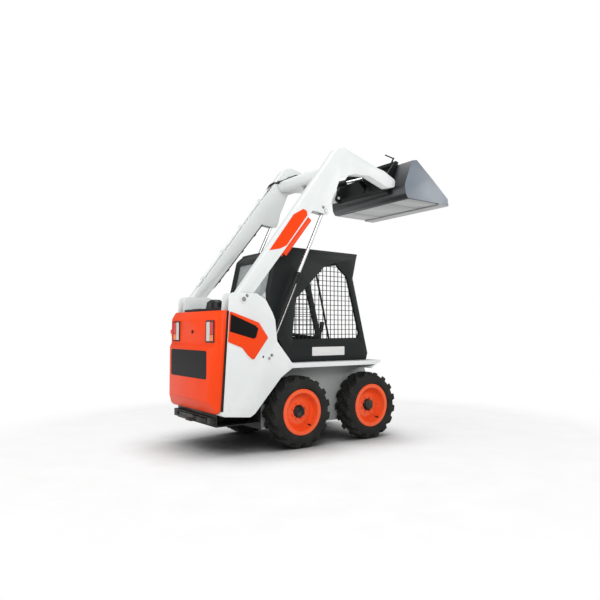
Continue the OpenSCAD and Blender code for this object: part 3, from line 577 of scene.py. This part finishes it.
def addLug(made, centre, side, row, angle):
    # one bar from just past the middle of the tread to down over the shoulder
    half, top = tyreLook["width"] / 2, tyreLook["radius"]
    drop = tyreLook["shoulderDrop"]
    # share of the half width, dip below the crown, share of the lug's width
    steps = [(-0.10, 0.0, 0.95), (0.25, 0.0, 0.9), (0.55, 0.001, 0.95), (0.80, 0.004, 1.1),
             (0.92, 0.010, 1.25)]
    sections = []
    for share, dip, wide in steps:
        out = row * share * half
        turn = angle + tyreLook["sweep"] * share * side
        sections.append((out, turn, top - dip, top - tyreLook["lugDepth"] - 0.006, wide))
    out = row * (half - 0.004)
    turn = angle + tyreLook["sweep"] * side
    sections.append((out, turn, top - drop, top - drop - 0.012, 1.3))
    loops = []
    for out, turn, high, low, wide in sections:
        reach = tyreLook["lugWidth"] * wide / 2
        loop = []
        for radius, offset in ((low, -1.15), (high, -0.85), (high, 0.85), (low, 1.15)):
            spot = turn + offset * reach / top
            loop.append(made.verts.new((centre.x + side * radius * math.cos(spot), centre.y + side * out,
                                        centre.z + radius * math.sin(spot))))
        loops.append(loop)
    for a, b in zip(loops, loops[1:]):
        for i in range(4):
            k = (i + 1) % 4
            made.faces.new((a[i], a[k], b[k], b[i]))
    made.faces.new(loops[0])
    made.faces.new(list(reversed(loops[-1])))


def makeTyre(name):
    centre = jointAt["wheel_" + name + "_spin"]
    side = 1 if centre.y > 0 else -1

    def build(made):
        addLathe(made, tyreProfile(), centre, side, 96)
        pitch = 2 * math.pi / tyreLook["lugs"]
        for i in range(tyreLook["lugs"]):
            addLug(made, centre, side, 1, i * pitch)
            addLug(made, centre, side, -1, (i + 0.5) * pitch)
    piece = newPiece("tyreTread_" + name, meshFrom("tyreTread_" + name, build), tyreRubber, "wheel_" + name,
                     0.003)
    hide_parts("tyre_" + name)


# black hub with its ring of wheel nuts, and the valve in the dish
hubLook = {"face": 0.032, "nuts": 8, "nutCircle": 0.078, "nutRadius": 0.0115, "nutTop": 0.012,
           "studRadius": 0.0058, "studTop": 0.02, "capRadius": 0.061, "capTop": 0.034, "sunk": 0.003,
           "valveAt": (0.11, 0.03, -0.13), "valveRun": (0.004, 0.045, -0.006), "valveRadii": (0.006, 0.0045)}


def makeHub(name):
    centre = jointAt["wheel_" + name + "_spin"]
    side = 1 if centre.y > 0 else -1
    face, body = hubLook["face"], "wheel_" + name

    def build(made):
        top, radius = face + hubLook["capTop"], hubLook["capRadius"]
        addLathe(made, [(0.0005, top), (0.044, top), (0.051, face + 0.028), (0.054, face + 0.014),
                        (0.058, face + 0.011), (radius, face + 0.004), (radius, face - hubLook["sunk"])],
                 centre, side, 48)
    newPiece("hubCap_" + name, meshFrom("hubCap_" + name, build), blackPaint, body, 0.0015)

    def wheelNuts(made):
        for i in range(hubLook["nuts"]):
            angle = 2 * math.pi * (i + 0.5) / hubLook["nuts"]
            spot = centre + Vector((math.cos(angle), 0, math.sin(angle))) * hubLook["nutCircle"]
            out = Vector((0, side, 0))
            crown = spot + out * (face + hubLook["nutTop"])
            addRound(made, spot + out * (face - hubLook["sunk"]), crown, hubLook["nutRadius"], sides=6)
            addRound(made, crown, spot + out * (face + hubLook["studTop"]), hubLook["studRadius"], sides=14)
    newPiece("wheelNuts_" + name, meshFrom("wheelNuts_" + name, wheelNuts), rimOrangePaintedHighlight, body,
             0.0015)

    def valve(made):
        mirrored = Vector((1, side, 1))
        spot = centre + Vector(hubLook["valveAt"]) * mirrored
        addRound(made, spot, spot + Vector(hubLook["valveRun"]) * mirrored, *hubLook["valveRadii"], 16)
    newPiece("valve_" + name, meshFrom("valve_" + name, valve), hoseRubber, body, 0.001)


for wheel in wheelNames:
    makeTyre(wheel)
    makeHub(wheel)
print("wheels dressed")


# tail lamps: black housing, clear strip inboard, red over amber outboard
lampLook = {"rim": 0.011, "proud": 0.003, "split": 0.5, "width": 0.16, "clear": 0.001, "rimDeep": 0.01,
            "back": 0.006, "bar": 0.003, "redFrom": 0.36, "amberTo": 0.33}


def makeTailLamps():
    low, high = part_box("tail_lamps")
    rim, clear, front = lampLook["rim"], lampLook["clear"], low.x - lampLook["proud"]
    for word, side in bothSides.items():
        inY, outY = side * (high.y - lampLook["width"]), side * high.y
        y0, y1 = min(inY, outY), max(inY, outY)
        z0, z1 = low.z + clear, high.z - clear

        def housing(made):
            rear = front + lampLook["rimDeep"]
            addBox(made, (front + lampLook["back"], y0 + clear, z0), (high.x, y1 - clear, z1))
            addBox(made, (front, y0 + clear, z0), (rear, y0 + rim, z1))
            addBox(made, (front, y1 - rim, z0), (rear, y1 - clear, z1))
            addBox(made, (front, y0 + rim, z0), (rear, y1 - rim, low.z + rim))
            addBox(made, (front, y0 + rim, high.z - rim), (rear, y1 - rim, z1))
        box = newPiece("lampHousing_" + word, meshFrom("lampHousing", housing), blackPlastic, "tailgate",
                       0.002)
        if side < 0:
            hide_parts("tail_lamps")
        innerEdge, outerEdge = inY + side * rim, outY - side * rim
        cut = innerEdge + (outerEdge - innerEdge) * lampLook["split"]
        bar = side * lampLook["bar"]
        foot, tall = low.z + rim + 0.002, high.z - low.z - 2 * (rim + 0.002)
        strips = [("clear", innerEdge, cut - bar, 0.0, 1.0, clearLens),
                  ("red", cut + bar, outerEdge, lampLook["redFrom"], 1.0, redLens),
                  ("amber", cut + bar, outerEdge, 0.0, lampLook["amberTo"], amberLens)]
        for label, a, b, lowShare, highShare, material in strips:
            def lens(made):
                addBox(made, (front + 0.002, min(a, b) + clear, foot + tall * lowShare),
                       (low.x + 0.004, max(a, b) - clear, foot + tall * highShare))
            newPiece(label + "Lens_" + word, meshFrom(label + "Lens", lens), material, "tailgate",
                     0.004)


makeTailLamps()


# blank black plate on the tailgate's lower face and the lock in its upper face
plateLook = {"halfWidth": 0.385, "low": 0.678, "high": 0.932, "thick": 0.003, "round": 0.024}
lockLook = {"inset": 0.045, "high": 1.1, "radius": 0.017, "core": 0.011, "sunk": 0.002, "proud": 0.006,
            "coreProud": 0.01}


def roundedOutline(low, high, radius, steps=5):
    points = []
    corners = [((high[0] - radius, high[1] - radius), 0), ((low[0] + radius, high[1] - radius), 90),
               ((low[0] + radius, low[1] + radius), 180), ((high[0] - radius, low[1] + radius), 270)]
    for (cx, cz), start in corners:
        for i in range(steps + 1):
            angle = math.radians(start + 90 * i / steps)
            points.append((cx + radius * math.cos(angle), cz + radius * math.sin(angle)))
    return points


def makeTailTrim():
    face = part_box("tailgate")[0].x

    def plate(made):
        outline = roundedOutline((-plateLook["halfWidth"], plateLook["low"]),
                                 (plateLook["halfWidth"], plateLook["high"]), plateLook["round"])
        addSlab(made, outline, 0, plateLook["thick"])
        # stands across the machine, on the tailgate's rear face
        turn = Matrix(((0, -1, 0, face), (1, 0, 0, 0), (0, 0, 1, 0), (0, 0, 0, 1)))
        bmesh.ops.transform(made, matrix=turn, verts=made.verts)
    newPiece("tailPlate", meshFrom("tailPlate", plate), platePaint, "tailgate", 0.001)

    def lock(made):
        spot, rearward = Vector((face + lockLook["inset"], 0, lockLook["high"])), Vector((-1, 0, 0))
        rim = spot + rearward * lockLook["proud"]
        addRound(made, spot - rearward * lockLook["sunk"], rim, lockLook["radius"], sides=28)
        addRound(made, rim, spot + rearward * lockLook["coreProud"], lockLook["core"], sides=24)
    newPiece("tailLock", meshFrom("tailLock", lock), blackPlastic, "tailgate", 0.0015)


makeTailTrim()


# side mouldings: a raised orange field with sloping sides, and the black inset on it
# outlines are XZ places from the arm pivot
mouldingLook = {"foot": [(-0.149, -0.378), (-0.134, -0.114), (0.163, -0.214), (0.260, -0.347),
                         (0.110, -0.542), (0.056, -0.504), (-0.006, -0.432)],
                "top": [(-0.147, -0.358), (-0.133, -0.124), (0.150, -0.224), (0.222, -0.345),
                        (0.106, -0.500), (0.070, -0.472), (0.004, -0.405)],
                "inset": [(-0.133, -0.136), (0.120, -0.236), (0.150, -0.264), (0.127, -0.343),
                          (0.103, -0.357), (-0.143, -0.291)],
                "sunk": 0.001, "rise": 0.010, "thick": 0.002}


def makeMouldings():
    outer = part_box("side_mouldings")[1].y
    base, top = outer - mouldingLook["sunk"], outer + mouldingLook["rise"]

    def placed(outline):
        return [(armPivot.x + x, armPivot.z + z) for x, z in outline]

    for word, side in bothSides.items():
        def field(made):
            foot = [made.verts.new((x, side * base, z)) for x, z in placed(mouldingLook["foot"])]
            crest = [made.verts.new((x, side * top, z)) for x, z in placed(mouldingLook["top"])]
            made.faces.new(foot)
            made.faces.new(list(reversed(crest)))
            for i in range(len(foot)):
                k = (i + 1) % len(foot)
                made.faces.new((foot[i], crest[i], crest[k], foot[k]))
        newPiece("mouldingField_" + word, meshFrom("mouldingField", field), orangePaint, "chassis",
                 0.003)

        def inset(made):
            addSlab(made, placed(mouldingLook["inset"]), side * top, side * (top + mouldingLook["thick"]))
        newPiece("mouldingInset_" + word, meshFrom("mouldingInset", inset), platePaint, "chassis",
                 0.001)


makeMouldings()


# orange panel on the outer face of each arm's long leg; u runs up the leg, v across it
panelLook = {"outline": [(0.545, 0.070), (0.640, -0.008), (0.715, -0.042), (1.115, -0.034), (1.146, 0.0),
                         (1.130, 0.040), (1.005, 0.088)], "thick": 0.006, "angle": 51}


def legPoint(u, v):
    angle = math.radians(panelLook["angle"])
    across, up = math.cos(angle), math.sin(angle)
    return armPivot.x + u * across - v * up, armPivot.z + u * up + v * across


def makeArmPanels():
    outline = [legPoint(u, v) for u, v in panelLook["outline"]]
    for word, side in bothSides.items():
        def plate(made):
            addSlab(made, outline, side * armFace, side * (armFace + panelLook["thick"]))
        newPiece("armPanel_" + word, meshFrom("armPanel", plate), orangePaint, "lift_arm",
                 0.004)


makeArmPanels()


# blank white plate low on each cab side; from and to are ahead of the rear axle
cabPlateLook = {"from": 0.25, "to": 0.67, "low": 0.858, "high": 0.946, "round": 0.008, "thick": 0.002}


def makeCabPlates():
    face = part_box("cab_side_left")[1].y
    outline = roundedOutline((rearAxleX + cabPlateLook["from"], cabPlateLook["low"]),
                             (rearAxleX + cabPlateLook["to"], cabPlateLook["high"]), cabPlateLook["round"])
    for word, side in bothSides.items():
        def plate(made):
            addSlab(made, outline, side * face, side * (face + cabPlateLook["thick"]))
        newPiece("cabPlate_" + word, meshFrom("cabPlate", plate), labelWhite, "chassis",
                 0.0008)


makeCabPlates()


# seat pads: a slightly smaller copy of the solid, blown up by a short cloth run, then sewn with channels
seatLook = {"inset": 0.009, "voxel": 0.006, "pressure": 4.0, "frames": 20, "cap": 0.012,
            "seamDepth": 0.007, "seamWidth": 0.009}


def plainMesh(piece):
    evaluated = piece.evaluated_get(bpy.context.evaluated_depsgraph_get())
    return bpy.data.meshes.new_from_object(evaluated)


def blownUp(piece):
    start = [v.co.copy() for v in piece.data.vertices]
    cloth = piece.modifiers.new("stuffing", "CLOTH")
    cloth.settings.use_pressure = True
    cloth.settings.uniform_pressure_force = seatLook["pressure"]
    cloth.settings.effector_weights.gravity = 0
    cloth.point_cache.frame_start = 1
    cloth.point_cache.frame_end = seatLook["frames"]
    for step in range(1, seatLook["frames"] + 1):
        scene.frame_set(step)
    full = plainMesh(piece)
    for vert, before in zip(full.vertices, start):
        move = vert.co - before
        if move.length > seatLook["cap"]:
            vert.co = before + move.normalized() * seatLook["cap"]
    scene.frame_set(1)
    return full


def makeCushion(name, node, seams, outward):
    low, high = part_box(node)
    middle, size = (low + high) / 2, high - low
    pad = bpy.data.objects.new(name + "Pad", nodes[node].data.copy())
    for vert in pad.data.vertices:
        for i in range(3):
            vert.co[i] = middle[i] + (vert.co[i] - middle[i]) * (1 - 2 * seatLook["inset"] / size[i])
    scene.collection.objects.link(pad)
    skin = pad.modifiers.new("skin", "REMESH")
    skin.mode = "VOXEL"
    skin.voxel_size = seatLook["voxel"]
    pad.data = plainMesh(pad)
    pad.modifiers.clear()
    mesh = blownUp(pad)
    bpy.data.objects.remove(pad)
    normals = [v.normal.copy() for v in mesh.vertices]
    for vert, normal in zip(mesh.vertices, normals):
        facing = min(1, max(0, normal.dot(Vector(outward)) * 2 - 0.4))
        for axis, where in seams:        # sewn channels on the face that is sat on
            away = (vert.co[axis] - middle[axis] - where) / seatLook["seamWidth"]
            vert.co -= normal * seatLook["seamDepth"] * facing * math.exp(-away * away)
        for i in range(3):
            vert.co[i] = min(high[i], max(low[i], vert.co[i]))
    mesh.name = name
    mesh.materials.clear()
    piece = newPiece(name, mesh, seatVinyl, "chassis")
    smooth = piece.modifiers.new("soft", "SUBSURF")
    smooth.levels = smooth.render_levels = 1
    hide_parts(node)


# seams are an axis and a place from the pad's middle
makeCushion("seatCushion", "seat_cushion", [(1, -0.115), (1, 0.115), (0, 0.02)], (0, 0, 1))
makeCushion("seatBack", "seat_back", [(1, -0.11), (1, 0.11), (2, 0.06)], (1, 0, 0))
print("trim and seat made")


# black seal between the tailgate and the side plates
sealLook = {"low": 0.405, "high": 1.29, "width": 0.005, "thick": 0.002, "gap": 0.0065, "lip": 0.0005,
            "deep": 0.03, "foot": -0.836, "footZ": 0.361, "lean": 3.33}


def makeSeals():
    lean = math.tan(math.radians(sealLook["lean"]))

    def band(back, ahead):
        # a strip along the side plate's leaning rear edge
        low, high = sealLook["low"], sealLook["high"]
        lowX, highX = [rearAxleX + sealLook["foot"] + (z - sealLook["footZ"]) * lean for z in (low, high)]
        return [(lowX - back, low), (lowX + ahead, low), (highX + ahead, high), (highX - back, high)]

    for word, side in bothSides.items():
        back = sealLook["gap"] if side < 0 else 0.0        # the left gap holds the hinges

        def strip(made):
            addSlab(made, band(back, sealLook["width"]), side * sideFace,
                    side * (sideFace + sealLook["thick"]))
            if back:
                addSlab(made, band(back, sealLook["lip"]), -sideFace, sealLook["deep"] - sideFace)
        newPiece("tailSeal_" + word, meshFrom("tailSeal", strip), hoseRubber, "chassis",
                 0.0008)


makeSeals()


# bright pin ends with their keeper bolts: arm pivot, cylinder foot and rod pin
pinLook = {"bolt": 0.010, "keeper": (0.041, 0.033), "pivotProud": 0.016, "pivotRadius": 0.0225,
           "footProud": 0.010, "footRadius": 0.0145, "rodPin": (1.318, -0.169), "rodProud": 0.002,
           "rodRadius": 0.021}


def addBolt(made, x, z, face, side):
    # washer, hexagon head and its domed top
    spot, out, radius = Vector((x, side * face, z)), Vector((0, side, 0)), pinLook["bolt"]
    addRound(made, spot - out * 0.002, spot + out * 0.003, radius * 1.5, sides=28)
    addRound(made, spot + out * 0.003, spot + out * 0.010, radius, sides=6)
    addRound(made, spot + out * 0.010, spot + out * 0.012, radius * 0.7, radius * 0.5, 24)


def addPinEnd(made, x, z, face, side, radius):
    # chamfered end with its centre boss
    spot, out = Vector((x, side * face, z)), Vector((0, side, 0))
    addRound(made, spot - out * 0.002, spot + out * 0.002, radius, radius - 0.002, 36)
    addRound(made, spot + out * 0.002, spot + out * 0.003, radius * 0.3, sides=24)


def makePins():
    foot = jointAt["lift_barrel_swing"]
    rodX, rodZ = legPoint(*pinLook["rodPin"])
    keepX, keepZ = pinLook["keeper"]
    for word, side in bothSides.items():
        def bodyPins(made):
            addPinEnd(made, armPivot.x, armPivot.z, sideFace + pinLook["pivotProud"], side,
                      pinLook["pivotRadius"])
            addBolt(made, armPivot.x + keepX, armPivot.z + keepZ, sideFace, side)
            addPinEnd(made, foot.x, foot.z, sideFace + pinLook["footProud"], side, pinLook["footRadius"])
            addBolt(made, foot.x + keepX * 0.8, foot.z + keepZ * 0.8, sideFace, side)
        newPiece("bodyPins_" + word, meshFrom("bodyPins", bodyPins), zincSteel, "chassis",
                 0.0008)

        def armPins(made):
            addPinEnd(made, rodX, rodZ, armFace + pinLook["rodProud"], side, pinLook["rodRadius"])
            addBolt(made, rodX - keepX * 0.8, rodZ + keepZ, armFace, side)
        newPiece("armPins_" + word, meshFrom("armPins", armPins), zincSteel, "lift_arm",
                 0.0008)


makePins()


# clear lenses, two in each work lamp at the front of the roof
workLensLook = {"across": (-0.301, -0.249, 0.249, 0.301), "rise": 0.026, "radius": 0.018, "tip": 0.011,
                "sunk": 0.002, "rim": 0.001, "proud": 0.004}


def makeWorkLenses():
    low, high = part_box("work_lamps")
    ahead, radius = Vector((1, 0, 0)), workLensLook["radius"]
    for y in workLensLook["across"]:
        spot = Vector((high.x, y, low.z + workLensLook["rise"]))

        def lens(made):
            rim = spot + ahead * workLensLook["rim"]
            addRound(made, spot - ahead * workLensLook["sunk"], rim, radius, sides=36)
            addRound(made, rim, spot + ahead * workLensLook["proud"], radius, workLensLook["tip"], 36)
        newPiece("workLens_" + str(round(y * 1000)), meshFrom("workLens", lens), clearLens, "chassis",
                 0.001)


makeWorkLenses()
print("seals, pins and lenses made")


# slanted mullion bar across each side screen
mullionLook = {"top": (0.297, 1.728), "foot": (0.466, 1.03), "half": 0.011, "depth": 0.010, "clear": 0.001}


def makeMullions():
    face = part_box("screen_left")[1].y + mullionLook["clear"]
    top, foot, half = mullionLook["top"], mullionLook["foot"], mullionLook["half"]
    outline = [(rearAxleX + top[0] - half, top[1]), (rearAxleX + top[0] + half, top[1]),
               (rearAxleX + foot[0] + half, foot[1]), (rearAxleX + foot[0] - half, foot[1])]
    for word, side in bothSides.items():
        def strip(made):
            addSlab(made, outline, side * face, side * (face + mullionLook["depth"]))
        newPiece("mullion_" + word, meshFrom("mullion", strip), charcoalPaint, "chassis",
                 0.002)


makeMullions()


# rubber hoses: over the cross tube from the arm's pipes, and one clipped under the left arm's long leg
hoseLook = {"radius": 0.010, "spacing": 0.03, "crimp": 0.0135, "crimpEnd": 0.05, "collar": 0.012,
            "legRadius": 0.0065, "legInset": 0.010, "legDrop": -0.061, "clips": [0.36, 0.52, 0.80, 1.05],
            "clipHalf": 0.016, "clipOver": 0.012, "clipUnder": 0.011, "clipDeep": 0.018}


def makeHoses():
    tubeLow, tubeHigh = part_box("cross_tube")
    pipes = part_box("arm_pipes")[1]
    top, left = tubeHigh.z, armInside
    tubeX = (tubeLow.x + tubeHigh.x) / 2
    routes = []
    for i in range(2):        # from the pipe's end, up and over the cross tube to its middle
        y = left + 0.022 + hoseLook["spacing"] * i
        end = Vector((pipes.x - 0.006, y, pipes.z - 0.02))
        routes.append([end, end + Vector((0.06, -0.004, 0.085)),
                       Vector((tubeX - 0.06, left - 0.05, top - 0.03 + 0.02 * i)),
                       Vector((tubeX - 0.03, left - 0.2, top + 0.008)),
                       Vector((tubeX, 0.16 + 0.05 * i, top + 0.012)),
                       Vector((tubeX + 0.03, 0.09 + 0.03 * i, top - 0.05))])
    for i, points in enumerate(routes):
        hoseCurve("armHose_" + str(i), points, hoseLook["radius"], hoseRubber, "lift_arm")

    def crimps(made):
        for points in routes:
            end, along = points[0], (points[1] - points[0]).normalized()
            collar = along * hoseLook["collar"]
            addRound(made, end - collar, end + collar, hoseLook["crimp"] + 0.002, sides=6)
            addRound(made, end + collar, end + along * hoseLook["crimpEnd"], hoseLook["crimp"], sides=28)
    newPiece("hoseCrimps", meshFrom("hoseCrimps", crimps), zincSteel, "lift_arm", 0.001)

    def underLeg(u, v):
        x, z = legPoint(u, v)
        return Vector((x, left + hoseLook["legInset"], z))
    drop = hoseLook["legDrop"]
    hoseCurve("legHose", [underLeg(0.20, drop + 0.02), underLeg(0.28, drop + 0.002)]
              + [underLeg(0.36 + 0.12 * i, drop) for i in range(8)]
              + [underLeg(1.28, drop + 0.004), underLeg(1.36, drop + 0.02)],
              hoseLook["legRadius"], hoseRubber, "lift_arm")

    def clips(made):
        half, over, under = hoseLook["clipHalf"], drop + hoseLook["clipOver"], drop - hoseLook["clipUnder"]
        for u in hoseLook["clips"]:
            addSlab(made, [legPoint(u - half, over), legPoint(u - half, under),
                           legPoint(u + half, under), legPoint(u + half, over)],
                    left + 0.001, left + hoseLook["clipDeep"])
            x, z = legPoint(u, drop)
            addRound(made, (x, left - 0.001, z), (x, left + 0.002, z), 0.006, sides=6)
    newPiece("hoseClips", meshFrom("hoseClips", clips), blackPlastic, "lift_arm", 0.002)


# oil tube along the outer side of each lift cylinder, held by two bands
barrelLook = {"radius": 0.032, "tube": 0.006, "from": 0.09, "to": 0.78, "bandInset": 0.12, "bandHalf": 0.012,
              "bandInner": 0.0315, "bandOuter": 0.0335}


def makeBarrelTubes():
    foot = jointAt["lift_barrel_swing"]
    middle = (armFace + armInside) / 2
    barrel = middle + barrelLook["radius"]
    rodX, rodZ = legPoint(*pinLook["rodPin"])
    along = Vector((rodX - foot.x, 0, rodZ - foot.z)).normalized()
    start, stop, half = barrelLook["from"], barrelLook["to"], barrelLook["bandHalf"]
    # distance along the cylinder, and how far off the barrel's skin
    route = [(start, -0.002), (start + 0.03, 0.001), (start + 0.06, 0.003),
             (stop - 0.06, 0.003), (stop - 0.03, 0.001), (stop, -0.002)]
    for word, side in bothSides.items():
        def spot(s, y):
            return Vector((foot.x, side * y, foot.z)) + along * s
        hoseCurve("barrelTube_" + word, [spot(s, barrel + off) for s, off in route],
                  barrelLook["tube"], zincSteel, "lift_barrels")

        def bands(made):
            for s in (start + barrelLook["bandInset"], stop - barrelLook["bandInset"]):
                addRing(made, spot(s - half, middle), spot(s + half, middle), barrelLook["bandInner"],
                        barrelLook["bandOuter"])
        newPiece("barrelBands_" + word, meshFrom("barrelBands", bands), blackPaint, "lift_barrels",
                 0.001)


makeBarrelTubes()
makeHoses()
print("hoses and tubes made")

print("pieces ready")
